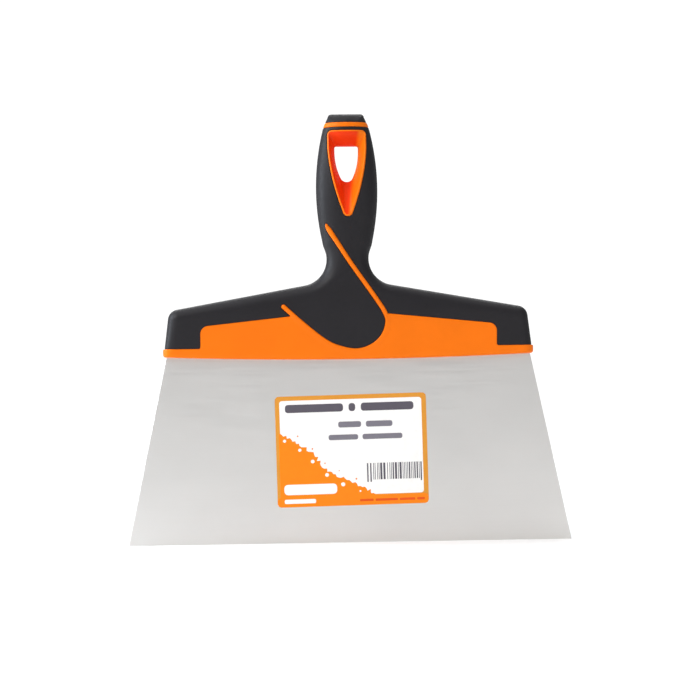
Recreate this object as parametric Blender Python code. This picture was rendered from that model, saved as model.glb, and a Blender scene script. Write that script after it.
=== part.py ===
"""Wide flexible putty knife: a sprung steel blade in a two-colour tee handle.

Metres, +Z up. The knife hangs blade down: X is its width, Z runs up the handle and its front
faces -Y. Shapes are drawn in millimetres above the blade's edge, and the whole knife hangs
from an empty that puts the origin where a hook bears in the hanging eye.
"""

from math import atan, cos, hypot, pi, radians, sin, sqrt, tan

import bpy
from mathutils import Vector

MM = 0.001
GAP = 0.3  # between pieces that touch

# Blade: one sheet, cut along the line where it bends.
EDGE_HALF = 120.0
BLADE_TAPER = 0.212
BLADE_THICK = 0.5
FLEX_Z = 84.5
TANG_STEPS = ((98.4, 101.5), (95.0, 106.5), (91.5, 120.5), (16.0, 120.5), (9.0, 127.0), (9.0, 139.0))

# Lip bar along the head's foot, bowed towards the blade.
LIP_Z, LIP_TOP = 99.0, 105.7
LIP_BOW = 2.2
LIP_HALF = 100.2
LIP_DEPTH = 5.5
BODY_FOOT = 102.5  # the body starts inside the bar

# Outline of the handle, as half widths at heights above the blade's edge.
HEAD_HALF, HEAD_Z, HEAD_TAPER = 99.1, 108.5, 0.124
CORNER_R = 6.0
WING_PEAK, WING_SLOPE = 143.4, tan(radians(10))
NECK_X, NECK_Z, NECK_R = 25.8, 153.5, 14.4
GRIP_HALF, GRIP_Z, GRIP_CURVE = 16.65, 191.0, 260.0
TIP_Z, TIP_CURVE = 222.0, 60.0
TOP_Z, TOP_HALF, TOP_R = 231.7, 7.8, 2.0

# Half depths of the handle at heights above the blade's edge, down its middle and in its wings.
NECK_DEPTHS = ((99, 5.0), (126, 7.6), (152, 9.0), (190, 12.2), (212, 11.4), (232, 8.6))
WING_DEPTHS = ((99, 5.0), (126, 7.6), (144, 6.4))
WING_FROM, WING_TO = 14.0, 46.0
HEAD_ROUND, GRIP_ROUND = 6.0, 15.0  # how far in from the outline the edges are rounded
ROUND_POWER = 2.2
OUTER_ROWS = (106.5, 112, 118, 121, 123.5, 125, 126.5, 128.5, 130.5, 132.5, 134.5, 136.5, 138, 139.2)
OUTER_ROWS += (141, 144, 148, 153, 159, 166, 174, 182, 190, 199, 207, 214, 219, 223, 226, 228.5, 230, 231)
INNER_ROWS = OUTER_ROWS[::2]

SKIN = 2.0  # soft layer over the core
RING_LOW, RING_HIGH = 224.6, 227.9

# Hanging eye: a wide rim on both faces that narrows to a hole half way through.
RIM_TOP, RIM_FOOT, RIM_FOOT_R, RIM_CORNER_R = 223.6, 175.8, 2.8, 2.7
RIM_BEND, RIM_SHOULDER = (9.8, 196.5), (10.65, 213.0)
HOLE_TOP, HOLE_FOOT, HOLE_FOOT_R, HOLE_CORNER_R = 214.7, 195.4, 3.0, 1.1
HOLE_BEND, HOLE_SHOULDER = (5.8, 203.5), (6.05, 211.0)
RIM_WALL = 0.9
HOLE_LAND = 2.5  # half length of the straight hole between the two flares

# Orange panel on each face, with the raised bead that crosses the grip and rings the tongue.
PANEL_HALF, PANEL_CORNER_R = 80.6, 4.4
PANEL_PEAK, PANEL_SLOPE = 125.6, 0.0945
BEAD_HALF = 1.9
BEAD_START, BEAD_ELBOW = (-9.9, 170.8), (16.4, 131.0)
BEAD_ROUND = ((19.4, 126.2), (21.2, 119.0), (18.6, 111.4), (12.6, 105.9), (4.4, 103.6))
BEAD_END = ((-5.2, 105.8), (-13.2, 109.6), (-24.0, 118.2), (-35.4, 128.4))

RIVETS = {
    "rivet_end_left": (-88.5, 113.5),
    "rivet_end_right": (88.5, 113.5),
    "rivet_tongue_left": (-10.0, 116.0),
    "rivet_tongue_right": (9.0, 115.0),
    "rivet_neck": (0.0, 132.5),
}
RIVET_R, RIVET_HEAD_R, RIVET_HEAD = 2.0, 3.6, 1.2
RIVET_SUNK = 0.4  # its head below the core's face

LABEL_WIDTH, LABEL_HEIGHT, LABEL_THICK = 82.0, 60.0, 0.2
LABEL_X, LABEL_Z = 1.0, 50.0
LABEL_TURN = radians(1.4)
LABEL_CORNER_R = 2.0

COLOURS = {
    "orange": ((0.93, 0.21, 0.005), 0.35, 0.0),
    "black": ((0.030, 0.029, 0.033), 0.6, 0.0),
    "steel": ((0.66, 0.65, 0.63), 0.35, 1.0),
    "rivet": ((0.75, 0.75, 0.76), 0.4, 1.0),
    "paper": ((0.9, 0.89, 0.86), 0.6, 0.0),
}


# Small tools.


def clear_scene():
    for obj in list(bpy.data.objects):
        bpy.data.objects.remove(obj, do_unlink=True)


def material(name):
    if name in bpy.data.materials:
        return bpy.data.materials[name]
    colour, roughness, metallic = COLOURS[name]
    made = bpy.data.materials.new(name)
    made.use_nodes = True
    shader = made.node_tree.nodes["Principled BSDF"]
    shader.inputs["Base Color"].default_value = (*colour, 1.0)
    shader.inputs["Roughness"].default_value = roughness
    shader.inputs["Metallic"].default_value = metallic
    return made


def mesh_object(name, points, faces):
    """A mesh from points in millimetres."""
    mesh = bpy.data.meshes.new(name)
    mesh.from_pydata([Vector(p) * MM for p in points], [], faces)
    obj = bpy.data.objects.new(name, mesh)
    bpy.context.scene.collection.objects.link(obj)
    return obj


def loft(name, rings):
    """A closed solid through rings of equal length, capped flat at both ends."""
    n = len(rings[0])
    faces = [tuple(reversed(range(n)))]
    for i in range(len(rings) - 1):
        for j in range(n):
            k = (j + 1) % n
            faces.append((i * n + j, i * n + k, (i + 1) * n + k, (i + 1) * n + j))
    faces.append(tuple((len(rings) - 1) * n + j for j in range(n)))
    return mesh_object(name, [p for ring in rings for p in ring], faces)


def slab(name, shape, front, back):
    """A flat (x, z) outline, anticlockwise as the front shows it, from one y to another."""
    rings = [[(x, y, z) for x, z in shape] for y in (back, front)]
    return loft(name, rings)


def combine(obj, other, operation):
    """Joins, cuts or trims obj with other, which it uses up."""
    change = obj.modifiers.new(operation, "BOOLEAN")
    change.operation = operation
    change.solver = "EXACT"
    change.object = other
    graph = bpy.context.evaluated_depsgraph_get()
    mesh = bpy.data.meshes.new_from_object(obj.evaluated_get(graph))
    obj.modifiers.clear()
    obj.data = mesh
    bpy.data.objects.remove(other, do_unlink=True)
    return obj


def smooth_step(low, high, value):
    t = min(1.0, max(0.0, (value - low) / (high - low)))
    return t * t * (3 - 2 * t)


def read_curve(points, place):
    """A smooth curve through (place, size) points, level beyond both ends."""
    for (low, a), (high, b) in zip(points, points[1:]):
        if place <= high:
            return a + (b - a) * smooth_step(low, high, place)
    return points[-1][1]


def arc(x, z, r, start, end, steps):
    """Points on an arc, angles in degrees from +X towards +Z."""
    turns = [radians(start + (end - start) * i / steps) for i in range(steps + 1)]
    return [(x + r * cos(a), z + r * sin(a)) for a in turns]


def bend(start, control, end, steps):
    """Points on a quadratic curve, after its start."""
    start, control, end = Vector(start), Vector(control), Vector(end)
    places = [i / steps for i in range(1, steps + 1)]
    return [tuple(start.lerp(control, t).lerp(control.lerp(end, t), t)) for t in places]


# The handle's outer form, as a stack of sections.


def head_corner():
    """Centre of the arc between the head's end and its sloping top."""
    end = HEAD_HALF + HEAD_TAPER * HEAD_Z - CORNER_R * hypot(1, HEAD_TAPER)
    top = WING_PEAK - CORNER_R * hypot(1, WING_SLOPE)
    z = (top - WING_SLOPE * end) / (1 - WING_SLOPE * HEAD_TAPER)
    return end - HEAD_TAPER * z, z


def grip_half(z):
    """Half width above the wings, from the neck's hollow to the tip."""
    half = GRIP_HALF - (z - GRIP_Z) ** 2 / GRIP_CURVE - max(0.0, z - TIP_Z) ** 2 / TIP_CURVE
    if z > TOP_Z - TOP_R:
        half = min(half, TOP_HALF + sqrt(max(0.0, TOP_R**2 - (z - TOP_Z + TOP_R) ** 2)))
    if z >= NECK_Z + 10:
        return half
    hollow = NECK_X - sqrt(NECK_R**2 - (z - NECK_Z) ** 2)
    return hollow + (half - hollow) * smooth_step(NECK_Z + 1.5, NECK_Z + 10, z)


def half_width(z):
    tilt = cos(atan(WING_SLOPE))
    corner_x, corner_z = head_corner()
    if z <= corner_z + CORNER_R * sin(atan(HEAD_TAPER)):
        return HEAD_HALF - HEAD_TAPER * (z - HEAD_Z)
    if z <= corner_z + CORNER_R * tilt:
        return corner_x + sqrt(CORNER_R**2 - (z - corner_z) ** 2)
    if z <= NECK_Z - NECK_R * tilt:
        return (WING_PEAK - z) / WING_SLOPE
    return grip_half(z)


def outline(steps=90):
    """The right side of the handle's outline, from its foot to the middle of its top."""
    rows = [BODY_FOOT + (TOP_Z - BODY_FOOT) * i / steps for i in range(steps + 1)]
    return [(half_width(z), z) for z in rows] + [(0.0, TOP_Z)]


def distance_to(line, x, z):
    """From a place to the nearest point of a line of straight pieces."""
    nearest = []
    for (ax, az), (bx, bz) in zip(line, line[1:]):
        dx, dz = bx - ax, bz - az
        t = ((x - ax) * dx + (z - az) * dz) / (dx * dx + dz * dz)
        t = min(1.0, max(0.0, t))
        nearest.append(hypot(x - ax - t * dx, z - az - t * dz))
    return min(nearest)


def inset_half(line, z, inset):
    """Half width at a height, of the outline moved in by inset."""
    low, high = 0.0, half_width(z)
    for _ in range(24 if inset else 0):
        middle = (low + high) / 2
        if distance_to(line, middle, z) > inset:
            low = middle
        else:
            high = middle
    return high


def half_depth(x, z, edge, inset):
    """How far the surface stands off the middle plane, edge being the way in from the outline."""
    outward = smooth_step(WING_FROM, WING_TO, abs(x))
    depth = read_curve(NECK_DEPTHS, z) * (1 - outward) + read_curve(WING_DEPTHS, z) * outward
    reach = HEAD_ROUND + (GRIP_ROUND - HEAD_ROUND) * smooth_step(134, 160, z) * (1 - outward)
    t = min(1.0, edge / (reach - inset))
    return (depth - inset) * (1 - (1 - t) ** ROUND_POWER) ** (1 / ROUND_POWER)


def body(name, inset, columns, foot, heights):
    """The handle's form, or the same form inset on every side."""
    line = outline()
    top = TOP_Z - inset - 0.01
    rings = []
    for z in [foot, *[h for h in heights if h < top - 0.3], top]:
        ring = []
        half = inset_half(line, z, inset)
        for j in range(4 * columns):
            x = -half * cos(pi * j / (2 * columns))
            edge = max(0.5, distance_to(line, abs(x), z) - inset)
            side = 0 if j % (2 * columns) == 0 else 1 if j > 2 * columns else -1
            ring.append((x, side * half_depth(x, z, edge, inset), z))
        rings.append(ring)
    return loft(name, rings)


# The flat outlines that divide orange from black.


def lip_outline():
    places = [LIP_HALF * (i / 8 - 1) for i in range(17)]
    foot = [(x, LIP_Z + LIP_BOW * (x / LIP_HALF) ** 2) for x in places]
    top = [(x, LIP_TOP - LIP_BOW * (1 - (x / LIP_HALF) ** 2)) for x in reversed(places)]
    return foot + top


def panel_outline(grow):
    """The panel with the band below the wings, grown on every side."""
    wide, low = LIP_HALF + 5, BODY_FOOT - 5
    half, band, r = PANEL_HALF + grow, LIP_TOP + grow, PANEL_CORNER_R + grow
    top = PANEL_PEAK - PANEL_SLOPE * PANEL_HALF + grow
    corner = arc(half - r, top - r, r, 0, 90, 3)
    right = [(wide, low), (wide, band), (half, band), *corner]
    left = [(-x, z) for x, z in reversed(right)]
    return right + [(0.0, PANEL_PEAK + grow)] + left


def bead_line():
    straight = [Vector(BEAD_START).lerp(Vector(BEAD_ELBOW), i / 3) for i in range(4)]
    return straight + [Vector(p) for p in BEAD_ROUND + BEAD_END]


def sides_of(line, half):
    """The two lines at either side of a line."""
    left, right = [], []
    for i, p in enumerate(line):
        along = (line[min(i + 1, len(line) - 1)] - line[max(i - 1, 0)]).normalized()
        across = Vector((-along.y, along.x)) * half
        left.append(tuple(p + across))
        right.append(tuple(p - across))
    return left, right


def bead_outline(grow):
    line = bead_line()
    for end, beside in ((0, 1), (-1, -2)):
        line[end] = line[end] + (line[end] - line[beside]).normalized() * grow
    left, right = sides_of(line, BEAD_HALF + grow)
    return left + list(reversed(right))


def tongue_outline(grow):
    """The tongue where it hangs over the panel, shrunk by grow."""
    _, inner = sides_of(bead_line()[3:], BEAD_HALF + grow)
    return list(reversed(inner))


def eye_outline(top, foot, foot_r, corner_r, control, shoulder, grow=0.0):
    """A wedge with a straight top, bowed sides and a small round foot."""
    control, shoulder = (control[0] + grow, control[1]), (shoulder[0] + grow, shoulder[1])
    foot_arc = arc(0, foot + foot_r, foot_r + grow, 200, 340, 4)
    side = bend(foot_arc[-1], control, shoulder, 4)
    r = corner_r + grow
    corner = arc(shoulder[0] - r, top + grow - r, r, 0, 90, 3)
    right = side + corner
    return foot_arc + right + [(-x, z) for x, z in reversed(right)]


def rim_outline(grow):
    return eye_outline(RIM_TOP, RIM_FOOT, RIM_FOOT_R, RIM_CORNER_R, RIM_BEND, RIM_SHOULDER, grow)


def eye_cutter():
    """The through hole, straight in the middle and flared to the rim on both faces."""
    hole = eye_outline(HOLE_TOP, HOLE_FOOT, HOLE_FOOT_R, HOLE_CORNER_R, HOLE_BEND, HOLE_SHOULDER)
    mouth = rim_outline(-RIM_WALL)
    face = read_curve(NECK_DEPTHS, 200)
    steps = ((mouth, face + 5), (mouth, face), (hole, HOLE_LAND), (hole, -HOLE_LAND))
    steps += ((mouth, -face), (mouth, -face - 5))
    return loft("eye_cutter", [[(x, y, z) for x, z in shape] for shape, y in steps])


def turned(shape):
    """An outline as it lies on the back, for the knife looks the same turned half round."""
    return [(-x, z) for x, z in reversed(shape)]


def orange_face(grow, front, back, lay):
    """What surfaces in orange on one face. lay puts an outline on that face."""
    face = slab("face", lay(panel_outline(grow)), front, back)
    combine(face, slab("tongue", lay(tongue_outline(grow)), front - 1, back + 1), "DIFFERENCE")
    return combine(face, slab("bead", lay(bead_outline(grow)), front - 0.5, back + 0.5), "UNION")


def orange_region(grow):
    """All that surfaces in orange, as a block of which the handle's form keeps its part."""
    region = orange_face(grow, -25.0, 0.6, list)
    combine(region, orange_face(grow, -0.6, 25.0, turned), "UNION")
    combine(region, slab("rim", rim_outline(grow), -26, 26), "UNION")
    low, high = RING_LOW - grow, RING_HIGH + grow
    ring = [(-20, low), (20, low), (20, high), (-20, high)]
    return combine(region, slab("ring", ring, -27, 27), "UNION")


# The pieces.


def blade_half(z):
    return EDGE_HALF - BLADE_TAPER * z


def mirrored(right):
    """A whole outline from its right side, given from the foot up."""
    return right + [(-x, z) for x, z in reversed(right)]


def blade():
    top = FLEX_Z - GAP / 2
    shape = mirrored([(EDGE_HALF, 0.0), (blade_half(top), top)])
    return slab("blade", shape, -BLADE_THICK / 2, BLADE_THICK / 2)


def tang_outline(grow):
    foot = FLEX_Z + GAP / 2
    steps = [(x + grow, z + grow * (z > 107)) for x, z in TANG_STEPS]
    return mirrored([(blade_half(foot) + grow, foot), *steps])


def blade_tang():
    tang = slab("blade_tang", tang_outline(0.0), -BLADE_THICK / 2, BLADE_THICK / 2)
    for x, z in RIVETS.values():
        hole = arc(x, z, RIVET_R + GAP, 0, 345, 15)
        combine(tang, slab("hole", hole, -2, 2), "DIFFERENCE")
    return tang


def rivet_rings(x, z, grow, reach):
    """Rings of a rivet's shank and two heads. A grown one is the hole that it sits in."""
    line = outline()
    face = half_depth(x, z, distance_to(line, abs(x), z) - SKIN, SKIN)
    top = face - RIVET_SUNK + reach
    under = face - RIVET_SUNK - RIVET_HEAD - grow
    steps = ((top, RIVET_HEAD_R), (under, RIVET_HEAD_R), (under, RIVET_R))
    steps += ((-under, RIVET_R), (-under, RIVET_HEAD_R), (-top, RIVET_HEAD_R))
    return [[(px, y, pz) for px, pz in arc(x, z, r + grow, 0, 345, 15)] for y, r in steps]


def rivet(name):
    return loft(name, rivet_rings(*RIVETS[name], 0.0, 0.0))


def handle_core():
    """Lip, panels, bead, ring and eye liner on the skeleton that the soft layer covers."""
    core = body("handle_core", 0.0, 9, BODY_FOOT, OUTER_ROWS)
    combine(core, orange_region(0.0), "INTERSECT")
    combine(core, body("skeleton", SKIN, 6, BODY_FOOT + 0.4, INNER_ROWS), "UNION")
    combine(core, slab("lip", lip_outline(), -LIP_DEPTH, LIP_DEPTH), "UNION")
    combine(core, eye_cutter(), "DIFFERENCE")
    slot = BLADE_THICK / 2 + GAP
    combine(core, slab("slot", tang_outline(GAP), -slot, slot), "DIFFERENCE")
    for x, z in RIVETS.values():
        combine(core, loft("pocket", rivet_rings(x, z, GAP, 5.0)), "DIFFERENCE")
    return core


def soft_layer(name, low, high):
    """The black layer between two heights."""
    layer = body(name, 0.0, 9, BODY_FOOT, OUTER_ROWS)
    inner = SKIN - GAP
    combine(layer, body("cavity", inner, 6, BODY_FOOT - 2, INNER_ROWS), "DIFFERENCE")
    combine(layer, orange_region(GAP), "DIFFERENCE")
    keep = [(-150, low), (150, low), (150, high), (-150, high)]
    return combine(layer, slab("keep", keep, -40, 40), "INTERSECT")


def label():
    r = LABEL_CORNER_R
    half_x, half_z = LABEL_WIDTH / 2 - r, LABEL_HEIGHT / 2 - r
    shape = arc(half_x, -half_z, r, -90, 0, 3) + arc(half_x, half_z, r, 0, 90, 3)
    shape += [(-x, -z) for x, z in shape]
    c, s = cos(LABEL_TURN), sin(LABEL_TURN)
    shape = [(LABEL_X + c * x - s * z, LABEL_Z + s * x + c * z) for x, z in shape]
    back = -BLADE_THICK / 2 - GAP
    return slab("label", shape, back - LABEL_THICK, back)


def finish(obj, colour, parent, lift):
    """Gives a piece its material, shading and place."""
    obj.data.materials.clear()
    obj.data.materials.append(material(colour))
    obj.data.shade_smooth()
    obj.data.set_sharp_from_angle(angle=radians(35))
    obj.parent = parent
    obj.location.z = lift * MM


def empty(name, parent, height):
    made = bpy.data.objects.new(name, None)
    bpy.context.scene.collection.objects.link(made)
    made.parent = parent
    made.location.z = height * MM
    return made


def build():
    clear_scene()
    knife = empty("knife", None, -HOLE_TOP)
    flex_axis = empty("flex_axis", knife, FLEX_Z)
    finish(handle_core(), "orange", knife, 0)
    finish(soft_layer("soft_grip", BODY_FOOT - 1, RING_LOW - GAP), "black", knife, 0)
    finish(soft_layer("soft_tip", RING_HIGH + GAP, TOP_Z + 1), "black", knife, 0)
    finish(blade_tang(), "steel", knife, 0)
    for name in RIVETS:
        finish(rivet(name), "rivet", knife, 0)
    finish(blade(), "steel", flex_axis, -FLEX_Z)
    finish(label(), "paper", flex_axis, -FLEX_Z)


build()
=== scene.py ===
"""Looks of the wide flexible putty knife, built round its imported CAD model.

Outlines are drawn in millimetres above the blade's edge, x to the right of the front face and
z up the handle. The front faces -Y, and the handle looks the same turned half round.
"""

import math
import random

import bmesh
import bpy
import numpy as np
from mathutils import Matrix, Vector
from mathutils.geometry import delaunay_2d_cdt


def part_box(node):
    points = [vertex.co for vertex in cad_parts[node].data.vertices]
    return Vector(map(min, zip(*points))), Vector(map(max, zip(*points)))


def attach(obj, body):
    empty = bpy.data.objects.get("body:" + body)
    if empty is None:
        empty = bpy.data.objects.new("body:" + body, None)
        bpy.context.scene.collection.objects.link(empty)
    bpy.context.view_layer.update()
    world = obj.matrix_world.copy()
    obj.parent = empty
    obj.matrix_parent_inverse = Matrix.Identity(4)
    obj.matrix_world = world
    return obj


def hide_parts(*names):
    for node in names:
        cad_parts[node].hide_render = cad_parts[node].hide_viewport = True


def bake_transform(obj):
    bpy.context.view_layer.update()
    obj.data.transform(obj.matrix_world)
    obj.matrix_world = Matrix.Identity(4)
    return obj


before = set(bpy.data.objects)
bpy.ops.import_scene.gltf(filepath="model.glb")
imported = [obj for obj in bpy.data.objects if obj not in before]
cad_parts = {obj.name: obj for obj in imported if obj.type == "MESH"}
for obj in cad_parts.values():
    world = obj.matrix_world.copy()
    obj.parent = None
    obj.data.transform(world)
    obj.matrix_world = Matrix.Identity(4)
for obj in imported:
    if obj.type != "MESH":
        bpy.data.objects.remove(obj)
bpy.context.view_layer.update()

MM = 0.001
EDGE_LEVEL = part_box("blade")[0].z  # the working edge, in metres

# Blade and tang.
EDGE_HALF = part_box("blade")[1].x / MM
BLADE_TAPER = 0.212
BLADE_HALF_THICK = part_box("blade")[1].y / MM
BLADE_CHAMFER = 0.08
TANG_FOOT = 98.4
TANG_STEPS = ((98.4, 101.5), (95.0, 106.5), (91.5, 120.5), (16.0, 120.5), (9.0, 127.0), (9.0, 139.0))

# Lip along the foot of the head.
LIP_Z, LIP_TOP, LIP_BOW, LIP_HALF = 99.0, 105.7, 2.2, 100.2
LIP_ROUND = 1.5

# Outline of the handle, as half widths at heights.
HEAD_HALF, HEAD_Z, HEAD_TAPER = 99.1, 108.5, 0.124
CORNER_R = 6.0
WING_PEAK, WING_SLOPE = 143.4, math.tan(math.radians(10))
NECK_X, NECK_Z, NECK_R = 25.8, 153.5, 14.4
GRIP_HALF, GRIP_Z, GRIP_CURVE = 16.65, 191.0, 260.0
TIP_Z, TIP_CURVE = 222.0, 60.0
TOP_Z, TOP_R = 231.7, 2.0

# Half depths. The head's face slopes out to a crease, and the wings lean back above it.
FACE_Z, FACE_DEPTH, FACE_SLOPE = 99.0, 5.2, 0.09
CREASE_Z, WING_LEAN, CREASE_SOFT = 126.0, 0.085, 0.06
CREASE_DEPTH = FACE_DEPTH + FACE_SLOPE * (CREASE_Z - FACE_Z)
GRIP_DEPTHS = ((126, CREASE_DEPTH), (140, 8.2), (154, 9.2), (172, 11.1), (190, 12.2), (206, 11.9))
GRIP_DEPTHS += ((220, 10.3), (232, 8.4))
WING_FROM, WING_TO = 14.0, 46.0
HEAD_ROUND, GRIP_ROUND, TIP_ROUND = 6.0, 15.0, 6.0  # how far in from the outline
POWER = 2.2
ON_SIDE = 0.02  # closer to the outline than this counts as on it

# Orange ring near the tip and hanging eye.
RING_LOW, RING_HIGH = 224.4, 227.0
RIM = dict(top=222.6, foot=176.0, foot_r=2.8, corner_r=2.7, control=(9.8, 196.5), shoulder=(10.65, 213.0))
HOLE = dict(top=214.3, foot=194.9, foot_r=3.6, corner_r=1.1, control=(6.3, 203.5), shoulder=(6.45, 211.0))
HOLE_LAND, RIM_WALL = 2.5, 0.9

# Orange panel, with the bead that crosses the grip and rings the tongue.
PANEL_HALF, PANEL_CORNER_R, PANEL_FILLET = 80.1, 4.4, 1.0
PANEL_PEAK, PANEL_SLOPE = 125.6, 0.0945
BEAD_HALF, BEAD_POINT = 1.25, 4.0
BEAD_LINE = ((-11.8, 172.3), (-10.5, 169.3), (-5.1, 160.8), (1.5, 150.7), (8.6, 140.6), (15.4, 130.8))
BEAD_LINE += ((19.3, 124.6), (20.9, 119.0), (18.4, 111.6), (12.6, 106.2), (4.4, 103.7), (-5.2, 105.4))
BEAD_LINE += ((-13.2, 109.2), (-24.2, 117.9), (-36.2, 128.7))
BEAD_ON_GRIP, BEAD_STUB = 55.0, 13.0  # lengths over which it stands out, from its start and its end

# Each colour is rounded down where it meets another.
SEAM_ROUND = 0.5
PANEL_RAISE, BEAD_RAISE, BEAD_LEVEL, RIM_RAISE, RING_RAISE = 0.1, 0.8, 0.35, 0.3, 0.1
SHELL = 0.0018
CORE_INSET = 2.1

# Mesh sizes.
BORDER_STEP, INNER_STEP = 0.6, 1.3
SEAM_ROWS = (0.06, 0.16, 0.3, 0.5, 0.78)
ROUND_ROWS = (0.004, 0.018, 0.045, 0.085, 0.14, 0.21, 0.3, 0.41, 0.55, 0.72, 0.92)
ROW_KEPT, ROW_CLEAR = 0.96, 0.12  # a row stays where nothing else is nearer, and off the seams
LOOSE_GAP, GRID_GAP = 0.45, 0.62  # least spacing, the second as a share of the grid's step
CORE_STEP, CORE_SIDE_STEP = 3.5, 2.5


# Curves in the plane of the front.


def smooth_step(low, high, value):
    t = np.clip((value - low) / (high - low), 0, 1)
    return t * t * (3 - 2 * t)


def arc(x, z, r, start, end, steps=16):
    """Points on an arc, angles in degrees from +X towards +Z."""
    a = np.radians(np.linspace(start, end, steps + 1))
    return np.stack([x + r * np.cos(a), z + r * np.sin(a)], axis=1)


def bend(start, control, end, steps=36):
    """Points on a quadratic curve."""
    t = np.linspace(0, 1, steps + 1)[:, None]
    start, control, end = (np.array(p, float) for p in (start, control, end))
    return (1 - t) ** 2 * start + 2 * t * (1 - t) * control + t * t * end


def through(points, steps=40):
    """A smooth curve through a few points."""
    p = np.array(points, float)
    p = np.vstack([2 * p[0] - p[1], p, 2 * p[-1] - p[-2]])
    t = np.linspace(0, 1, steps, endpoint=False)[:, None]
    made = []
    for a, b, c, d in zip(p, p[1:], p[2:], p[3:]):
        bow = t**2 * (2 * a - 5 * b + 4 * c - d) + t**3 * (3 * (b - c) + d - a)
        made.append(b + (t * (c - a) + bow) / 2)
    return np.vstack([*made, p[-2]])


def spaced(line, step):
    """The line as points an even distance apart, with both its ends."""
    line = np.array(line, float)
    along = np.concatenate([[0], np.cumsum(np.linalg.norm(np.diff(line, axis=0), axis=1))])
    at = np.linspace(0, along[-1], max(2, round(along[-1] / step) + 1))
    return np.stack([np.interp(at, along, line[:, k]) for k in (0, 1)], axis=1)


def resampled(line, count):
    """A line as a set number of even steps."""
    line = np.array(line, float)
    return spaced(line, np.linalg.norm(np.diff(line, axis=0), axis=1).sum() / count)


def joined(pieces):
    """Lines end to end, without repeated points."""
    points = np.vstack([np.array(p, float) for p in pieces])
    apart = np.linalg.norm(np.diff(points, axis=0, prepend=points[:1] + 1), axis=1)
    return points[apart > 1e-4]


def across(line, closed=False):
    """Unit vectors to the left of a line at each of its points."""
    padded = np.vstack([line[-1:], line, line[:1]]) if closed else line
    along = np.gradient(padded, axis=0)
    along = along[1:-1] if closed else along
    along /= np.linalg.norm(along, axis=1)[:, None]
    return np.stack([-along[:, 1], along[:, 0]], axis=1)


def mirrored(line):
    return line[::-1] * [-1, 1]


def closed_up(loop):
    return np.vstack([loop, loop[:1]])


def nearest(line, places):
    """For each place: distance to a line, unit way from it, and how far along it that is."""
    a, ab = line[:-1], np.diff(line, axis=0)
    long = np.maximum((ab**2).sum(1), 1e-12)
    left = np.stack([-ab[:, 1], ab[:, 0]], axis=1) / np.sqrt(long)[:, None]
    starts = np.concatenate([[0], np.cumsum(np.sqrt(long))])
    found = []
    for part in np.array_split(places, max(1, len(places) // 1500)):
        gap = part[:, None] - a
        t = np.clip((gap * ab).sum(2) / long, 0, 1)
        offset = gap - t[..., None] * ab
        size = (offset**2).sum(2)
        i = size.argmin(1)
        rows = np.arange(len(part))
        distance = np.sqrt(size[rows, i])
        way = offset[rows, i] / np.maximum(distance, 1e-9)[:, None]
        way = np.where((distance < ON_SIDE)[:, None], left[i], way)
        found.append((distance, way, starts[i] + t[rows, i] * np.sqrt(long[i])))
    return [np.concatenate(each) for each in zip(*found)]


def away(lines, places):
    """Distance from each place to the nearest of several lines."""
    return np.min([nearest(line, places)[0] for line in lines], axis=0)


def inside(loop, places):
    """Which places a closed loop holds."""
    x, z = places.T
    held = np.zeros(len(places), bool)
    for (ax, az), (bx, bz) in zip(loop, np.roll(loop, -1, axis=0)):
        if az != bz:
            held ^= ((az > z) != (bz > z)) & (x < ax + (z - az) * (bx - ax) / (bz - az))
    return held


# The handle's form.


def head_corner():
    """Centre of the arc between the head's end and its sloping top."""
    end = HEAD_HALF + HEAD_TAPER * HEAD_Z - CORNER_R * math.hypot(1, HEAD_TAPER)
    top = WING_PEAK - CORNER_R * math.hypot(1, WING_SLOPE)
    z = (top - WING_SLOPE * end) / (1 - WING_SLOPE * HEAD_TAPER)
    return end - HEAD_TAPER * z, z


def grip_side():
    """The right side from the neck's hollow to the tip."""
    rows = np.linspace(NECK_Z + 0.5, TOP_Z - TOP_R, 320)
    half = GRIP_HALF - (rows - GRIP_Z) ** 2 / GRIP_CURVE
    half -= np.maximum(0, rows - TIP_Z) ** 2 / TIP_CURVE
    neck = NECK_X - np.sqrt(np.maximum(0, NECK_R**2 - (rows - NECK_Z) ** 2))
    half = neck + (half - neck) * smooth_step(NECK_Z + 1.5, NECK_Z + 10, rows)
    tip = arc(half[-1] - TOP_R, TOP_Z - TOP_R, TOP_R, 0, 90, 24)
    return np.vstack([np.stack([half, rows], axis=1), tip])


def right_side():
    """The right side of the outline, from inside the lip to the start of the level top."""
    x, z = head_corner()
    taper, slope = math.degrees(math.atan(HEAD_TAPER)), math.degrees(math.atan(WING_SLOPE))
    foot = [(HEAD_HALF - HEAD_TAPER * (h - HEAD_Z), h) for h in (95, 105)]
    corner = arc(x, z, CORNER_R, taper, 90 - slope, 40)
    hollow = arc(NECK_X, NECK_Z, NECK_R, 270 - slope, 178, 60)
    return spaced(joined([foot, corner, hollow, grip_side()]), 0.1)


SIDE = right_side()
SIDE_LINE = spaced(SIDE, 0.2)
LIP_SIDE = np.array([(LIP_HALF, 90.0), (LIP_HALF, 140.0)])


def half_at(z):
    return np.interp(z, SIDE[:, 1], SIDE[:, 0])


def through_sizes(points, at):
    """A smooth curve of sizes through (place, size) points."""
    place, size = np.array(points, float).T
    slope = np.gradient(size, place)
    i = np.clip(np.searchsorted(place, at) - 1, 0, len(place) - 2)
    width = place[i + 1] - place[i]
    t = np.clip((at - place[i]) / width, 0, 1)
    mix = size[i] + (size[i + 1] - size[i]) * smooth_step(0, 1, t)
    return mix + width * (slope[i] * t * (1 - t) ** 2 - slope[i + 1] * t**2 * (1 - t))


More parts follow.
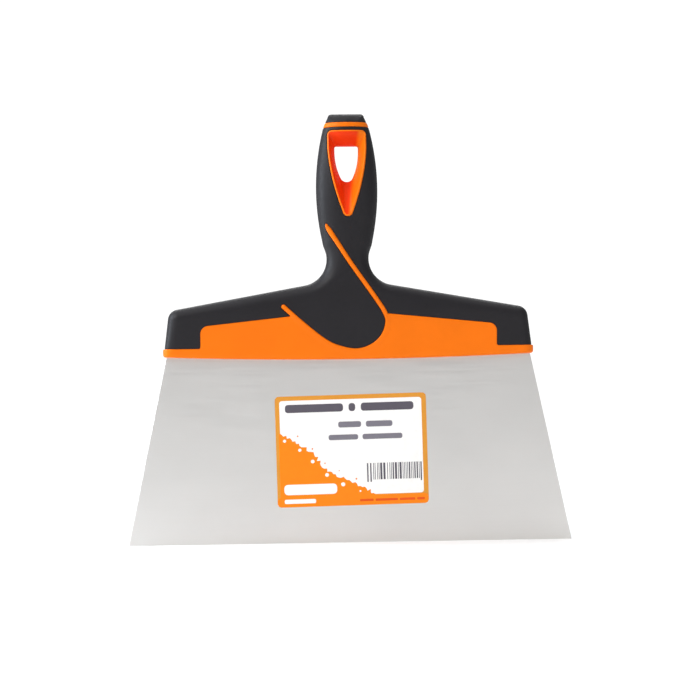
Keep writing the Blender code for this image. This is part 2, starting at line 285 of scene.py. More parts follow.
def middle_depth(x, z):
    """Half depth before the outline's edge is rounded."""
    face = FACE_DEPTH + FACE_SLOPE * (z - FACE_Z)
    lean = CREASE_DEPTH - WING_LEAN * (z - CREASE_Z)
    grip = np.where(z > CREASE_Z, through_sizes(GRIP_DEPTHS, z), CREASE_DEPTH)
    above = grip + (lean - grip) * smooth_step(WING_FROM, WING_TO, np.abs(x))
    return (face + above - np.sqrt((face - above) ** 2 + CREASE_SOFT)) / 2


def reach_of(x, z):
    """How far in from the outline the sides are rounded."""
    outward = smooth_step(WING_FROM, WING_TO, np.abs(x))
    grip = np.minimum(GRIP_ROUND, half_at(z))
    return HEAD_ROUND + (grip - HEAD_ROUND) * smooth_step(134, 160, z) * (1 - outward)


def on_front(places, side=SIDE_LINE):
    """Points of the handle's front over some places, and the ways that it faces there."""
    x, z = places.T
    edge, way, _ = nearest(side, np.stack([np.abs(x), z], axis=1))
    edge = np.where(edge < ON_SIDE, 0, edge)
    reach = reach_of(x, z)
    s, t = np.clip(edge / reach, 1e-12, 1), np.clip((TOP_Z - z) / TIP_ROUND, 1e-12, 1)
    a, b = 1 - (1 - s) ** POWER, 1 - (1 - t) ** POWER
    rise_a = POWER * (1 - s) ** (POWER - 1) / reach
    rise_b = POWER * (1 - t) ** (POWER - 1) / TIP_ROUND
    depth, h = middle_depth(x, z), 0.05
    slope_x = (middle_depth(x + h, z) - middle_depth(x - h, z)) / (2 * h) / depth
    slope_z = (middle_depth(x, z + h) - middle_depth(x, z - h)) / (2 * h) / depth
    y = depth * (a * b) ** (1 / POWER)
    facing_x = -POWER * a * b * slope_x - b * rise_a * way[:, 0] * np.where(x < 0, -1, 1)
    facing_z = -POWER * a * b * slope_z - b * rise_a * way[:, 1] + a * rise_b
    facing = np.stack([facing_x, -POWER * y ** (POWER - 1) / depth**POWER, facing_z], axis=1)
    facing /= np.linalg.norm(facing, axis=1)[:, None]
    return np.stack([x, -y, z], axis=1), facing


def edge_fall(distance, radius):
    """How far a rounded border lies below its face."""
    t = np.clip(distance / radius, 0, 1)
    return radius * (1 - np.sqrt(1 - (1 - t) ** 2))


# The lines that divide the colours.


def bead_lines():
    """The bead's middle line with its lengths and half widths, and its inner and outer sides."""
    line = spaced(through(BEAD_LINE), BORDER_STEP)
    at = np.linspace(0, 1, len(line)) * np.linalg.norm(np.diff(line, axis=0), axis=1).sum()
    short = np.maximum(0, BEAD_HALF - (at[-1] - at))
    half = np.sqrt(BEAD_HALF**2 - short**2)
    half = np.minimum(BEAD_HALF * np.clip(at / BEAD_POINT, 0, 1) ** 0.6, half)
    side = across(line) * half[:, None]
    return line, at, half, line - side, line + side


def panel_top(x):
    return PANEL_PEAK - PANEL_SLOPE * np.abs(x)


def level_from(outer, inner, z, reach=HEAD_ROUND):
    """A level line inwards from a rounded side, with close points beside the side."""
    near = [outer - reach * share for share in (0, *ROUND_ROWS) if share < 0.3]
    rest = np.linspace(near[-1], inner, int((near[-1] - inner) / BORDER_STEP) + 1)
    return np.array([(x, z) for x in [*near, *rest[1:]]])


def seam_path(outer):
    """The whole upper boundary of the orange, from the lip's right end to its left end."""
    _, _, _, inner_side, outer_side = bead_lines()
    above = outer_side[:, 1] > panel_top(outer_side[:, 0])
    first, last = int(np.argmin(above)), len(above) - int(np.argmin(above[::-1]))
    rise, tail = outer_side[:first], outer_side[last:]
    r, f, half = PANEL_CORNER_R, PANEL_FILLET, PANEL_HALF
    top, lean = panel_top(half), math.degrees(math.atan(PANEL_SLOPE))
    foot = level_from(outer, half + f, LIP_TOP)
    fillet = arc(half + f, LIP_TOP + f, f, 270, 180, 4)
    corner = arc(half - r, top - r, r, 0, 90 - lean, 12)
    right = [foot, fillet, spaced([fillet[-1], corner[0]], BORDER_STEP), corner]
    left = [mirrored(p) for p in reversed(right)]
    rise_foot = (rise[-1][0], panel_top(rise[-1][0]))
    tail_foot = (tail[0][0], panel_top(tail[0][0]))
    to_bead = [spaced([corner[-1], rise_foot], BORDER_STEP), rise[::-1], inner_side]
    from_bead = [tail[::-1], spaced([tail_foot, mirrored(corner)[0]], BORDER_STEP)]
    return joined([*right, *to_bead, *from_bead, *left])


def eye_outline(top, foot, foot_r, corner_r, control, shoulder):
    """A wedge with a straight top, bowed sides and a small round foot, anticlockwise."""
    foot_arc = arc(0, foot + foot_r, foot_r, 270, 340, 6)
    side = resampled(bend(foot_arc[-1], control, shoulder), 44)
    corner = arc(shoulder[0] - corner_r, top - corner_r, corner_r, 0, 90, 8)
    rise = resampled([side[-1], corner[0]], 4)
    level = resampled([corner[-1], (0, top)], 9)
    right = joined([foot_arc, side, rise, corner, level])
    return np.vstack([right, mirrored(right)[1:-1]])


def side_between(low, high):
    """The right side between two heights, with close points beside both ends."""
    base = spaced(SIDE, BORDER_STEP)[:, 1]
    clear = SEAM_ROWS[-1] + 0.15
    base = base[(base > low + clear) & (base < high - clear)]
    rows = [low, *(low + d for d in SEAM_ROWS), *base, *(high - d for d in reversed(SEAM_ROWS)), high]
    return np.stack([half_at(rows), rows], axis=1)


def ring_line(z):
    """A level line across the tip, with close points beside both sides, left to right."""
    right = level_from(half_at(z), 0.0, z, reach_of(0.0, z))[::-1]
    return np.vstack([mirrored(right), right[1:]])


# Meshes.


def spread(kept, more, gap):
    """Adds places one by one, where nothing kept yet lies within the gap."""
    cells, added = {}, []
    for p in kept:
        cells.setdefault((int(p[0] // gap), int(p[1] // gap)), []).append(p)
    for p in more:
        cx, cz = int(p[0] // gap), int(p[1] // gap)
        near = (q for i in (-1, 0, 1) for j in (-1, 0, 1) for q in cells.get((cx + i, cz + j), ()))
        if all((p[0] - q[0]) ** 2 + (p[1] - q[1]) ** 2 >= gap * gap for q in near):
            cells.setdefault((cx, cz), []).append(p)
            added.append(p)
    return np.vstack([kept, *added]) if added else kept


def hex_grid(low, high, step):
    xs, zs = np.arange(low[0], high[0], step), np.arange(low[1], high[1], step * 0.866)
    grid = np.stack(np.meshgrid(xs, zs), axis=-1)
    grid[1::2, :, 0] += step / 2
    return grid.reshape(-1, 2)


def within(loops, places):
    """Which places the first loop holds and the others don't."""
    held = inside(loops[0], places)
    for loop in loops[1:]:
        held &= ~inside(loop, places)
    return held


def filled(loops, fixed=(), loose=(), step=INNER_STEP, lines=()):
    """Points and triangles over the first loop less the others.

    Fixed places are kept, and loose ones where they have room. Lines are loops that the
    triangles follow.
    """
    borders = [closed_up(loop) for loop in (*loops, *lines)]
    places = np.vstack([*loops, *lines])
    if len(fixed):
        rows = np.vstack(fixed)
        rows = rows[within(loops, rows)]
        places = np.vstack([places, rows[away(borders, rows) > 1.1 * ON_SIDE]])
    grid = hex_grid(loops[0].min(0), loops[0].max(0), step)
    for more, gap in ((np.vstack([*loose, places[:0]]), LOOSE_GAP), (grid, step * GRID_GAP)):
        places = spread(places, more[within(loops, more)], gap)
    return triangles_over(places, loops, lines)


def triangles_over(places, loops, lines):
    """Triangles through the places, whose first ones are the loops' own points."""
    edges, start = [], 0
    for loop in (*loops, *lines):
        edges += [(start + i, start + (i + 1) % len(loop)) for i in range(len(loop))]
        start += len(loop)
    made = delaunay_2d_cdt([Vector(p) for p in places], edges, [], 0, 1e-6, False)
    points = np.array([tuple(p) for p in made[0]])
    faces = np.array(made[2])
    faces = faces[within(loops, points[faces].mean(1))]
    a, b, c = (points[faces[:, k]] for k in range(3))
    turn = (b[:, 0] - a[:, 0]) * (c[:, 1] - a[:, 1]) - (b[:, 1] - a[:, 1]) * (c[:, 0] - a[:, 0])
    faces[turn < 0] = faces[turn < 0][:, ::-1]
    return points, faces[np.abs(turn) > 1e-8]


def rows_for(seams, sides):
    """Places in rows beside seams and rounded sides, each given with the side they lie on."""
    fixed, loose = [], []
    seam_lines, side_lines = [line for line, _ in seams], [line for line, _ in sides]
    for line, turn in seams:
        for d in SEAM_ROWS:
            places = line + across(line) * turn * d
            fixed.append(places[away(seam_lines, places) > ROW_KEPT * d])
    for line, turn in sides:
        reach = reach_of(*line.T)
        for share in ROUND_ROWS:
            far = share * reach
            places = line + across(line) * turn * far[:, None]
            clear = away(side_lines, places) > ROW_KEPT * far
            clear &= away(seam_lines, places) > SEAM_ROWS[-1] + ROW_CLEAR
            fixed.append(places[clear & (far < 0.6)])
            loose.append(places[clear & (far >= 0.6)])
    return fixed, loose


def both_faces(points, faces):
    """A front face with the back, which is the front turned half round."""
    faces = faces[np.abs(points[faces][:, :, 1]).max(1) > 0.002]
    return np.vstack([points, points * [-1, -1, 1]]), np.vstack([faces, faces + len(points)])


def shell(parts):
    """Welds (points, faces) parts into one bmesh, in metres where they belong."""
    bm = bmesh.new()
    for points, faces in parts:
        verts = [bm.verts.new(p) for p in points * MM + [0, 0, EDGE_LEVEL]]
        for face in faces:
            bm.faces.new([verts[i] for i in face])
    bmesh.ops.remove_doubles(bm, verts=bm.verts[:], dist=2e-6)
    loose = [v for v in bm.verts if not v.link_faces]
    bmesh.ops.delete(bm, geom=loose, context="VERTS")
    return bm


def close_foot(bm, below):
    """Joins the open front and back borders under a height with a strip."""
    limit = below * MM + EDGE_LEVEL
    rim = {v for e in bm.edges if e.is_boundary for v in e.verts if v.co.z < limit}
    front = sorted((v for v in rim if v.co.y < 1e-6), key=lambda v: v.co.x)
    back = sorted((v for v in rim if v.co.y > -1e-6), key=lambda v: v.co.x)
    for a, b, c, d in zip(front, back, back[1:], front[1:]):
        bm.faces.new(list(dict.fromkeys([a, b, c, d])))


def thicken(bm, thick):
    """Closes an open shell with an inner wall."""
    bm.normal_update()
    outer, faces = bm.verts[:], bm.faces[:]
    loops = [e.link_loops[0] for e in bm.edges if e.is_boundary]
    rim = [(loop.vert, loop.link_loop_next.vert) for loop in loops]
    inner = {v: bm.verts.new(v.co - v.normal * thick) for v in outer}
    for face in faces:
        bm.faces.new([inner[v] for v in reversed(face.verts)])
    for a, b in rim:
        bm.faces.new([b, a, inner[a], inner[b]])


def piece(name, meshes, materials, sharp=50):
    """One smooth-shaded object from bmeshes, which it uses up."""
    whole = bmesh.new()
    for bm in meshes:
        part = bpy.data.meshes.new(name)
        bm.to_mesh(part)
        bm.free()
        whole.from_mesh(part)
        bpy.data.meshes.remove(part)
    mesh = bpy.data.meshes.new(name)
    whole.to_mesh(mesh)
    whole.free()
    mesh.shade_smooth()
    mesh.set_sharp_from_angle(angle=math.radians(sharp))
    for material in materials:
        mesh.materials.append(material)
    obj = bpy.data.objects.new(name, mesh)
    bpy.context.scene.collection.objects.link(obj)
    return obj


# The pieces' shapes.


def black_front():
    """The soft layer's front between the lip and the ring."""
    seam = seam_path(half_at(LIP_TOP))
    side = side_between(LIP_TOP, RING_LOW)
    left = mirrored(side)[::-1]
    top = ring_line(RING_LOW)
    rim = eye_outline(**RIM)
    loop = joined([seam, left, top, side[::-1]])[:-1]
    seams = [(seam, -1), (top, -1), (closed_up(rim), -1)]
    fixed, loose = rows_for(seams, [(side, 1), (left, -1)])
    points, faces = filled([loop, rim], fixed, loose)
    base, facing = on_front(points)
    fall = edge_fall(away([line for line, _ in seams], points), SEAM_ROUND)
    return base - facing * fall[:, None], faces


def tip_front():
    """The soft cap's front above the ring."""
    side = side_between(RING_HIGH, SIDE[-1][1])
    foot = ring_line(RING_HIGH)
    top = spaced([SIDE[-1], SIDE[-1] * [-1, 1]], BORDER_STEP)
    outline = joined([side, top, mirrored(side)])
    loop = joined([foot, outline])[:-1]
    fixed, loose = rows_for([(foot, 1)], [(outline, 1)])
    points, faces = filled([loop], fixed, loose)
    base, facing = on_front(points)
    return base - facing * edge_fall(nearest(foot, points)[0], SEAM_ROUND)[:, None], faces


def ring_front():
    foot, top, side = ring_line(RING_LOW), ring_line(RING_HIGH), side_between(RING_LOW, RING_HIGH)
    loop = joined([foot, side, top[::-1], mirrored(side)])[:-1]
    fixed, loose = rows_for([(foot, 1), (top, -1)], [(side, 1), (mirrored(side), 1)])
    points, faces = filled([loop], fixed, loose)
    base, facing = on_front(points)
    raised = RING_RAISE - edge_fall(away([foot, top], points), SEAM_ROUND + RING_RAISE)
    return base + facing * raised[:, None], faces


def bead_raise(points):
    """How far the bead stands out: round on the grip and at its stub, near level in the panel."""
    line, at, half, _, _ = bead_lines()
    aside, _, along = nearest(line, points)
    level = smooth_step(BEAD_ON_GRIP - 6, BEAD_ON_GRIP + 3, along)
    level *= 1 - smooth_step(at[-1] - BEAD_STUB, at[-1] - BEAD_STUB + 6, along)
    bow = np.clip(1 - (aside / np.maximum(0.2, np.interp(along, at, half))) ** 2, 0, 1) ** 0.7
    return (BEAD_RAISE + (BEAD_LEVEL - BEAD_RAISE) * level) * bow


def orange_front():
    """Lip, panels and bead as one face."""
    seam = seam_path(LIP_HALF)
    foot_z = LIP_Z + LIP_BOW
    xs = level_from(LIP_HALF, 0.0, foot_z)[:, 0]
    xs = np.concatenate([-xs[:-1], xs[::-1]])
    foot = np.stack([xs, LIP_Z + LIP_BOW * (xs / LIP_HALF) ** 2], axis=1)
    heights = [foot_z, *(foot_z + LIP_ROUND * r for r in (0.1, 0.3, 0.6, 1.0)), LIP_TOP - 2.2]
    heights += [LIP_TOP - 1.5, *(LIP_TOP - d for d in reversed(SEAM_ROWS)), LIP_TOP]
    side = np.array([(LIP_HALF, z) for z in heights])
    loop = joined([seam, mirrored(side), foot, side])[:-1]
    fixed, loose = rows_for([(seam, 1)], [(side, 1), (mirrored(side), 1)])
    fixed += [foot + across(foot) * d * LIP_ROUND for d in (0.03, 0.12, 0.27, 0.5, 0.8)]
    loose += [bead_lines()[0], seam + across(seam) * 1.35]
    points, faces = filled([loop], fixed, loose)
    base, facing = on_front(points, LIP_SIDE)
    high = points[:, 1] > LIP_TOP + 0.5
    base[high], facing[high] = on_front(points[high])
    raised = PANEL_RAISE - edge_fall(nearest(seam, points)[0], SEAM_ROUND + PANEL_RAISE)
    raised += bead_raise(points) - edge_fall(nearest(foot, points)[0], LIP_ROUND)
    return base + facing * raised[:, None], faces


def liner():
    """The hanging eye: a narrow rim on each face, funnelled down to the hole between them."""
    rim, hole = eye_outline(**RIM), eye_outline(**HOLE)
    inwards = across(rim, closed=True)
    rings = []
    for d in (0, *SEAM_ROWS[:-1], RIM_WALL):
        base, facing = on_front(rim + inwards * d)
        rings.append(base + facing * (RIM_RAISE - edge_fall(d, SEAM_ROUND + RIM_RAISE)))
    mouth = rings[-1]
    for s in np.linspace(0, 1, 19)[1:]:
        ring = mouth[:, [0, 2]] + (hole - mouth[:, [0, 2]]) * s
        depth = -HOLE_LAND + (mouth[:, 1] + HOLE_LAND) * (1 - s**1.45)
        rings.append(np.stack([ring[:, 0], depth, ring[:, 1]], axis=1))
    rings += [ring * [1, -1, 1] for ring in reversed(rings)]
    n, count = len(rim), len(rings)
    corner = [(i, (i + 1) % count, j, (j + 1) % n) for i in range(count) for j in range(n)]
    faces = [(i * n + j, i * n + k, m * n + k, m * n + j) for i, m, j, k in corner]
    return np.vstack(rings), faces


def core_inside():
    """The part of the core that the soft layer hides."""
    side = spaced(side_between(LIP_TOP - 1, SIDE[-1][1]), CORE_SIDE_STEP)
    rim = eye_outline(**RIM)[::4]
    foot = spaced([side[0] * [-1, 1], side[0]], 3.0)
    loop = joined([foot, side, mirrored(side)])[:-1]
    points, faces = filled([loop, rim], step=CORE_STEP)
    base, facing = on_front(points)
    bm = shell([both_faces(base - facing * CORE_INSET, faces)])
    close_foot(bm, LIP_TOP + 1)
    bmesh.ops.bridge_loops(bm, edges=[e for e in bm.edges if e.is_boundary])
    return bm


def sheet(loops, step, front, back, lines=(), chamfer=0.0):
    """A flat sheet between two depths."""
    rows = []
    if chamfer:
        signs = [1] + [-1] * (len(loops) - 1)
        rows = [loop + across(loop, closed=True) * chamfer * sign for loop, sign in zip(loops, signs)]
    points, faces = filled(loops, rows, step=step, lines=lines)
    border = away([closed_up(loop) for loop in loops], points) < chamfer / 2
    sides = []
    for y, turn in ((front, 1), (back, -1)):
        depth = np.where(border, y + turn * chamfer, y)
        sides.append(np.stack([points[:, 0], depth, points[:, 1]], axis=1))
    n = len(points)
    walls = [(b, a, a + n, b + n) for a, b in border_edges(faces)]
    return np.vstack(sides), [*faces, *(faces[:, ::-1] + n), *walls]


def border_edges(faces):
    """The edges that only one triangle has, in its own direction."""
    edges = np.vstack([faces[:, [0, 1]], faces[:, [1, 2]], faces[:, [2, 0]]])
    _, first, count = np.unique(np.sort(edges, axis=1), axis=0, return_index=True, return_counts=True)
    return edges[first[count == 1]]


def rivet_nodes():
    return [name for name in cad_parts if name.startswith("rivet")]


def blade_loops():
    """The blade with its tang as one outline, and the rivets' holes."""
    steps = [(EDGE_HALF, 0.0), (EDGE_HALF - BLADE_TAPER * TANG_FOOT, TANG_FOOT), *TANG_STEPS]
    runs = [resampled(run, max(1, int(math.dist(*run) / 3))) for run in zip(steps, steps[1:])]
    right = joined(runs)
    top = resampled([steps[-1], (-steps[-1][0], steps[-1][1])], 5)
    foot = resampled([(-EDGE_HALF, 0), (EDGE_HALF, 0)], 80)
    holes = []
    for name in rivet_nodes():
        low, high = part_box(name)
        x, z = (low.x + high.x) / 2 / MM, ((low.z + high.z) / 2 - EDGE_LEVEL) / MM
        holes.append(arc(x, z, 2.3, 0, 345, 23))
    return [joined([foot, right, top, mirrored(right)])[:-1], *holes]


# The label's print, in millimetres from its middle.

LABEL_WIDTH, LABEL_HEIGHT, LABEL_CORNER = 82.0, 60.0, 2.0
LABEL_PLACE, LABEL_TURN = (1.0, 50.0), math.radians(1.0)
LABEL_THICK, LABEL_LIFT = 0.12, 0.01
FIELD_LEFT, FIELD_RIGHT, FIELD_TOP, FIELD_FOOT = -38.6, 38.4, 27.6, -24.2
SPLASH = ((-38.6, 10.0), (-29.0, 4.5), (-20.5, -2.5), (-14.0, -10.5))
SPLASH += ((-4.0, -15.5), (4.0, -20.0), (12.0, -24.2))


def box_loop(left, right, low, high, r=0.3, steps=3):
    """A rectangle with round corners, anticlockwise."""
    r = min(r, (right - left) / 2.01, (high - low) / 2.01)
    centres = ((right - r, low + r), (right - r, high - r), (left + r, high - r), (left + r, low + r))
    turns = (-90, 0, 90, 180)
    return joined([arc(x, z, r, turn, turn + 90, steps) for (x, z), turn in zip(centres, turns)])


def splash_loop():
    """The ragged corner of orange ink, with spikes and bites of varied size along its edge."""
    rng = random.Random(7)
    line = spaced(through(SPLASH), 1.15)
    rough = [rng.uniform(-0.9, 1.3) if 0 < i < len(line) - 1 else 0 for i in range(len(line))]
    edge = line + across(line) * np.array(rough)[:, None]
    low, left = FIELD_FOOT - 0.7, FIELD_LEFT - 0.7
    return np.vstack([edge, [(edge[-1][0], low), (left, low), (left, edge[0][1])]])


def drops():
    """Dots beside the ragged edge: bare paper inside it, ink outside it."""
    rng = random.Random(11)
    line = spaced(through(SPLASH), 1.0)
    way = across(line)
    made = []
    for i in range(4, len(line) - 4, 5):
        off, r = rng.uniform(1.9, 3.2), rng.uniform(0.5, 1.15)
        inner = i % 2 == 0
        x, z = line[i] + way[i] * (-off if inner else off)
        made.append(("paper" if inner else "orange", arc(x, z, r if inner else r * 0.55, 0, 330, 11)))
    return made


def barcode():
    """Bars of one to three modules with gaps of one or two, between longer guard bars."""
    rng = random.Random(5)
    module, x, bars = 0.42, 7.9, []
    while x < 37.0:
        wide = rng.choice((1, 1, 2, 3)) * module
        guard = len(bars) < 2 or x > 36.2
        bars.append(box_loop(x, x + wide * 0.9, -17.6 if guard else -16.4, -7.4, 0.01, 1))
        x += wide + rng.choice((1, 1, 2)) * module
    return bars


def words(left, z, height, widths, gap):
    """Plain bars in place of words."""
    made = []
    for width in widths:
        made.append(box_loop(left, left + width, z, z + height, height * 0.35))
        left += width + gap
    return made


def print_shapes():
    """What is printed, as (ink, outline), later shapes over earlier ones."""
    shapes = [("paper", box_loop(FIELD_LEFT, FIELD_RIGHT, FIELD_FOOT, FIELD_TOP, 1.6, 5))]
    shapes.append(("orange", splash_loop()))
    shapes += drops()
    shapes += [("dark", loop) for loop in words(-35.6, 21.0, 4.4, (31.5, 3.6, 28.6), 3.0)]
    shapes += [("grey", loop) for loop in words(-7.0, 12.3, 3.2, (12.4, 14.4), 2.6)]
    shapes += [("grey", loop) for loop in words(-12.4, 5.6, 2.9, (16.0, 21.6), 2.4)]
    shapes += [("dark", loop) for loop in barcode()]
    shapes += [("paper", loop) for loop in words(-37.2, -23.4, 5.6, (28.6,), 0)]
    shapes += [("paper", loop) for loop in words(-37.2, -28.1, 2.3, (17.0,), 0)]
    shapes += [("red", loop) for loop in words(3.6, -28.0, 1.3, (7.4, 12.2, 8.4, 4.2), 1.0)]
    return shapes


def label_mesh():
    """The sticker as a bmesh, with a material index for each ink."""
    inks = ("border", "paper", "orange", "dark", "grey", "red")
    half_x, half_z = LABEL_WIDTH / 2, LABEL_HEIGHT / 2
    outer = spaced(closed_up(box_loop(-half_x, half_x, -half_z, half_z, LABEL_CORNER, 6)), 1.5)[:-1]
    band = box_loop(-half_x + 0.1, half_x - 0.1, -half_z + 0.1, FIELD_FOOT - 0.4, LABEL_CORNER)
    shapes = [("orange", band), *print_shapes()]
    points, faces = sheet([outer], 1.8, 0.0, LABEL_THICK, lines=[loop for _, loop in shapes])
    centres = np.array([points[list(face)].mean(0) for face in faces])
    ink = np.zeros(len(faces), int)
    for name, loop in shapes:
        ink[inside(loop, centres[:, [0, 2]])] = inks.index(name)
    ink[centres[:, 1] > LABEL_THICK / 4] = inks.index("paper")
    c, s = math.cos(LABEL_TURN), math.sin(LABEL_TURN)
    x, y, z = points.T
    y = y - BLADE_HALF_THICK - LABEL_LIFT - LABEL_THICK
    points = np.stack([LABEL_PLACE[0] + c * x - s * z, y, LABEL_PLACE[1] + s * x + c * z], axis=1)
    bm = bmesh.new()
    verts = [bm.verts.new(p) for p in points * MM + [0, 0, EDGE_LEVEL]]
    for face, index in zip(faces, ink):
        bm.faces.new([verts[i] for i in face]).material_index = int(index)
    return bm


# Materials.

# Painted shade on the eye's walls: they turn from red to orange between these distances (m) from its
# middle, at the height of the hanging point, and further out above it. The red stands in for the shade on
# the walls that face away from the key light.
EYE_LEAN = 0.127
EYE_LIT = (0.0045, 0.0065)
EYE_ORANGE, EYE_PAINTED_SHADE = (0.92, 0.2, 0.004, 1), (0.84, 0.042, 0.001, 1)


class Look:
    """A material's node tree with short ways to add to it."""

    def __init__(self, name, **values):
        self.material = bpy.data.materials.new(name)
        self.material.use_nodes = True
        self.tree = self.material.node_tree
        self.shader = self.tree.nodes["Principled BSDF"]
        self.place = self.tree.nodes.new("ShaderNodeTexCoord").outputs["Object"]
        for socket, value in values.items():
            self.shader.inputs[socket.replace("_", " ")].default_value = value

    def node(self, kind, **values):
        made = self.tree.nodes.new(kind)
        for socket, value in values.items():
            made.inputs[socket.replace("_", " ")].default_value = value
        return made

    def join(self, source, target):
        self.tree.links.new(source, target)

    def noise(self, scale, detail=2.0, stretch=(1, 1, 1)):
        """Noise with scale features to the metre."""
        mapping = self.node("ShaderNodeMapping", Scale=stretch)
        made = self.node("ShaderNodeTexNoise", Scale=scale, Detail=detail)
        self.join(self.place, mapping.inputs["Vector"])
        self.join(mapping.outputs["Vector"], made.inputs["Vector"])
        return made.outputs["Fac"]

    def colour(self, source, colour, low, high):
        """Base colour between two brightnesses."""
        made = self.node("ShaderNodeValToRGB")
        for element, place, factor in zip(made.color_ramp.elements, (0.3, 0.7), (low, high)):
            element.position = place
            element.color = (*(min(1.0, c * factor) for c in colour), 1)
        self.join(source, made.inputs["Fac"])
        self.join(made.outputs["Color"], self.shader.inputs["Base Color"])

    def roughness(self, source, low, high):
        made = self.node("ShaderNodeMapRange", From_Min=0.3, From_Max=0.7, To_Min=low, To_Max=high)
        self.join(source, made.inputs["Value"])
        self.join(made.outputs["Result"], self.shader.inputs["Roughness"])

    def bump(self, *layers):
        """Bumps from (height, depth in metres) layers, one over another."""
        below = None
        for height, depth in layers:
            made = self.node("ShaderNodeBump", Strength=1.0, Distance=depth)
            self.join(height, made.inputs["Height"])
            if below:
                self.join(below, made.inputs["Normal"])
            below = made.outputs["Normal"]
        self.join(below, self.shader.inputs["Normal"])


def orange_plastic():
    look = Look("orange_plastic", IOR=1.49, Specular_IOR_Level=0.13)
    look.colour(look.noise(45, 3), (0.90, 0.176, 0.0025), 0.955, 1.03)
    look.roughness(look.noise(260, 4), 0.36, 0.46)
    look.bump((look.noise(70), 0.00012), (look.noise(5200), 0.000006))
    return look.material


def eye_plastic_painted_shade():
    """The orange of the eye's walls, with painted shade: a red painted on the walls that face away from
    the light.
    """
    look = Look("eye_plastic_painted_shade", IOR=1.49, Specular_IOR_Level=0.15)
    parts, turn, swap = (look.node(f"ShaderNode{k}") for k in ("SeparateXYZ", "Math", "Math"))
    turn.operation, swap.operation = "SIGN", "MULTIPLY"
    look.join(look.place, parts.inputs["Vector"])
    look.join(parts.outputs["Y"], turn.inputs[0])
    look.join(parts.outputs["X"], swap.inputs[0])
    look.join(turn.outputs["Value"], swap.inputs[1])
    lean = look.node("ShaderNodeMath")
    lean.operation, lean.inputs[1].default_value = "MULTIPLY_ADD", EYE_LEAN
    look.join(parts.outputs["Z"], lean.inputs[0])
    look.join(swap.outputs["Value"], lean.inputs[2])
    ramp = look.node("ShaderNodeMapRange", From_Min=-EYE_LIT[1], From_Max=-EYE_LIT[0])
    look.join(lean.outputs["Value"], ramp.inputs["Value"])
    # Painted shade: red on the walls away from the lit side, orange on the lit ones.
    mix = look.node("ShaderNodeMix")
    mix.data_type = "RGBA"
    mix.inputs["A"].default_value = EYE_ORANGE
    mix.inputs["B"].default_value = EYE_PAINTED_SHADE
    look.join(ramp.outputs["Result"], mix.inputs["Factor"])
    look.join(mix.outputs["Result"], look.shader.inputs["Base Color"])
    look.roughness(look.noise(260, 4), 0.42, 0.52)
    look.bump((look.noise(70), 0.00012), (look.noise(5200), 0.000006))
    return look.material


def black_rubber():
    look = Look("black_rubber", IOR=1.45, Specular_IOR_Level=0.3)
    look.colour(look.noise(60, 4), (0.0125, 0.0112, 0.0138), 0.94, 1.07)
    look.roughness(look.noise(420, 4), 0.48, 0.57)
    look.bump((look.noise(90), 0.00014), (look.noise(3400, 3), 0.000022))
    return look.material


def brushed_steel():
    look = Look("brushed_steel", Metallic=1.0)
    look.colour(look.noise(26, 4, (1, 1, 1.6)), (0.785, 0.768, 0.747), 0.98, 1.01)
    look.roughness(look.noise(1, 4, (28, 28, 900)), 0.33, 0.45)
    look.bump((look.noise(1, 3, (35, 35, 2600)), 0.0000035), (look.noise(1, 2, (90, 90, 7000)), 0.0000018))
    return look.material


def aluminium():
    look = Look("aluminium", Metallic=1.0)
    look.colour(look.noise(900, 3), (0.76, 0.76, 0.77), 0.95, 1.05)
    look.roughness(look.noise(2500, 3), 0.3, 0.45)
    look.bump((look.noise(4000), 0.000008))
    return look.material


def printed(name, colour, roughness=0.42):
    """Ink or bare stock on coated paper."""
    look = Look(name, Specular_IOR_Level=0.25)
    look.colour(look.noise(350, 4), colour, 0.965, 1.015)
    look.roughness(look.noise(900, 3), roughness - 0.05, roughness + 0.07)
    look.bump((look.noise(55), 0.00006), (look.noise(2600, 4), 0.000008))
    return look.material


def label_inks():
    return [
        printed("ink_border", (0.72, 0.30, 0.035)),
        printed("label_stock", (0.93, 0.925, 0.91)),
        printed("ink_orange", (0.95, 0.235, 0.002)),
        printed("ink_dark", (0.105, 0.095, 0.12)),
        printed("ink_grey", (0.20, 0.19, 0.225)),
        printed("ink_red", (0.78, 0.085, 0.004)),
    ]


# Putting the knife together.


def walled(front):
    """A front and its turned back as a closed wall."""
    bm = shell([both_faces(*front)])
    thicken(bm, SHELL)
    return bm


def eye_mesh():
    """The hanging eye, whose walls have the second material with its painted shade."""
    bm = shell([liner()])
    n, rows = len(eye_outline(**RIM)), len(SEAM_ROWS)
    for i, face in enumerate(bm.faces):
        face.material_index = int(rows * n <= i < len(bm.faces) - (rows + 1) * n)
    return bm


def build_handle():
    orange, black = orange_plastic(), black_rubber()
    body = shell([both_faces(*orange_front())])
    close_foot(body, LIP_TOP - 2)
    thicken(body, SHELL)
    core = [body, walled(ring_front()), eye_mesh(), core_inside()]
    core = piece("handle_core_body", core, [orange, eye_plastic_painted_shade()])
    skin = piece("soft_grip_skin", [walled(black_front())], [black])
    tip = piece("soft_tip_cap", [walled(tip_front())], [black])
    for obj, slot, node in (
        (core, "hard_core", "handle_core"),
        (skin, "soft_grip", "soft_grip"),
        (tip, "soft_grip", "soft_tip"),
    ):
        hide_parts(node)
        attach(obj, "handle")


def build_blade():
    thick = BLADE_HALF_THICK
    flat = shell([sheet(blade_loops(), 3.0, -thick, thick, chamfer=BLADE_CHAMFER)])
    blade = piece("blade_sheet", [flat], [brushed_steel()], 20)
    label = piece("label_sticker", [label_mesh()], label_inks(), 30)
    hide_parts("blade", "blade_tang")
    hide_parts("label")
    for obj in (blade, label):
        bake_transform(obj)


def build_rivets():
    look = aluminium()
    for name in rivet_nodes():
        for slot in bpy.data.objects[name].material_slots:
            slot.material = look


# Stage, light and camera.

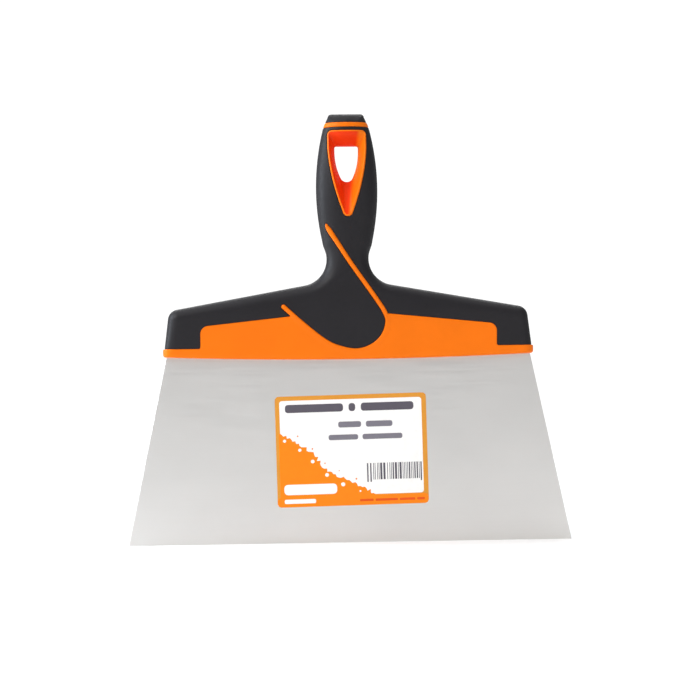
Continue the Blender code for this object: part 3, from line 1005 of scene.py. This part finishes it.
VIEW_MIDDLE = Vector((0.0007, 0.0, 104.1 * MM + EDGE_LEVEL))
VIEW_WIDTH, VIEW_LENS, SENSOR = 0.379, 135.0, 36.0
VIEW_AZIMUTH, VIEW_ROLL = math.radians(-3.0), math.radians(0.75)
FLOOR_HALF = 1.1


def add_stage():
    """A wide pale floor at the height of the blade's edge."""
    look = Look("pale_floor")
    look.colour(look.noise(3, 3), (0.94, 0.94, 0.94), 0.99, 1.01)
    look.roughness(look.noise(40, 3), 0.8, 0.9)
    mesh = bpy.data.meshes.new("floor")
    level = EDGE_LEVEL - 0.0002
    circle = arc(0, 0, FLOOR_HALF, 0, 354, 59)
    mesh.from_pydata([(x, y, level) for x, y in circle], [], [range(len(circle))])
    mesh.materials.append(look.material)
    floor = bpy.data.objects.new("floor", mesh)
    bpy.context.scene.collection.objects.link(floor)


def add_world():
    """White around the stage, which lights the knife less than it shows."""
    world = bpy.data.worlds.new("studio")
    bpy.context.scene.world = world
    world.use_nodes = True
    nodes, links = world.node_tree.nodes, world.node_tree.links
    seen = nodes["Background"]
    seen.inputs["Color"].default_value = (1, 1, 1, 1)
    seen.inputs["Strength"].default_value = 1.1
    soft = nodes.new("ShaderNodeBackground")
    soft.inputs["Color"].default_value = (0.96, 0.98, 1.0, 1)
    soft.inputs["Strength"].default_value = 0.34
    path, mix = nodes.new("ShaderNodeLightPath"), nodes.new("ShaderNodeMixShader")
    links.new(path.outputs["Is Camera Ray"], mix.inputs["Fac"])
    links.new(soft.outputs["Background"], mix.inputs[1])
    links.new(seen.outputs["Background"], mix.inputs[2])
    links.new(mix.outputs["Shader"], nodes["World Output"].inputs["Surface"])


def add_light(name, place, size, watts, colour=(1, 1, 1)):
    """A soft rectangle that faces the knife."""
    light = bpy.data.lights.new(name, "AREA")
    light.shape = "RECTANGLE"
    light.size, light.size_y = size
    light.energy, light.color = watts, colour
    obj = bpy.data.objects.new(name, light)
    obj.location = place
    obj.rotation_euler = (VIEW_MIDDLE - Vector(place)).to_track_quat("-Z", "Y").to_euler()
    bpy.context.scene.collection.objects.link(obj)


def add_lights():
    add_light("key", (-1.5, -1.25, 1.25), (0.9, 0.9), 34, (1.0, 0.985, 0.96))
    add_light("left_strip", (-0.6, 0.07, 0.12), (0.16, 0.55), 3.6, (0.84, 0.92, 1.0))
    add_light("fill", (1.6, -1.9, 0.35), (1.4, 1.4), 6)
    add_light("overhead", (0.0, 0.1, 2.0), (2.4, 2.4), 22)
    add_light("rear", (0.0, 1.9, 0.9), (1.6, 1.3), 20)


def add_camera():
    distance = VIEW_LENS * VIEW_WIDTH / SENSOR
    aside = Vector((math.sin(VIEW_AZIMUTH), -math.cos(VIEW_AZIMUTH), 0))
    camera = bpy.data.cameras.new("camera")
    camera.lens, camera.sensor_width = VIEW_LENS, SENSOR
    obj = bpy.data.objects.new("camera", camera)
    facing = (-aside).to_track_quat("-Z", "Y").to_matrix().to_4x4()
    turn = facing @ Matrix.Rotation(-VIEW_ROLL, 4, "Z")
    obj.matrix_world = Matrix.Translation(VIEW_MIDDLE + aside * distance) @ turn
    bpy.context.scene.collection.objects.link(obj)
    bpy.context.scene.camera = obj


build_handle()
build_blade()
build_rivets()
add_stage()
add_world()
add_lights()
add_camera()
bpy.context.scene.view_settings.view_transform = "Standard"
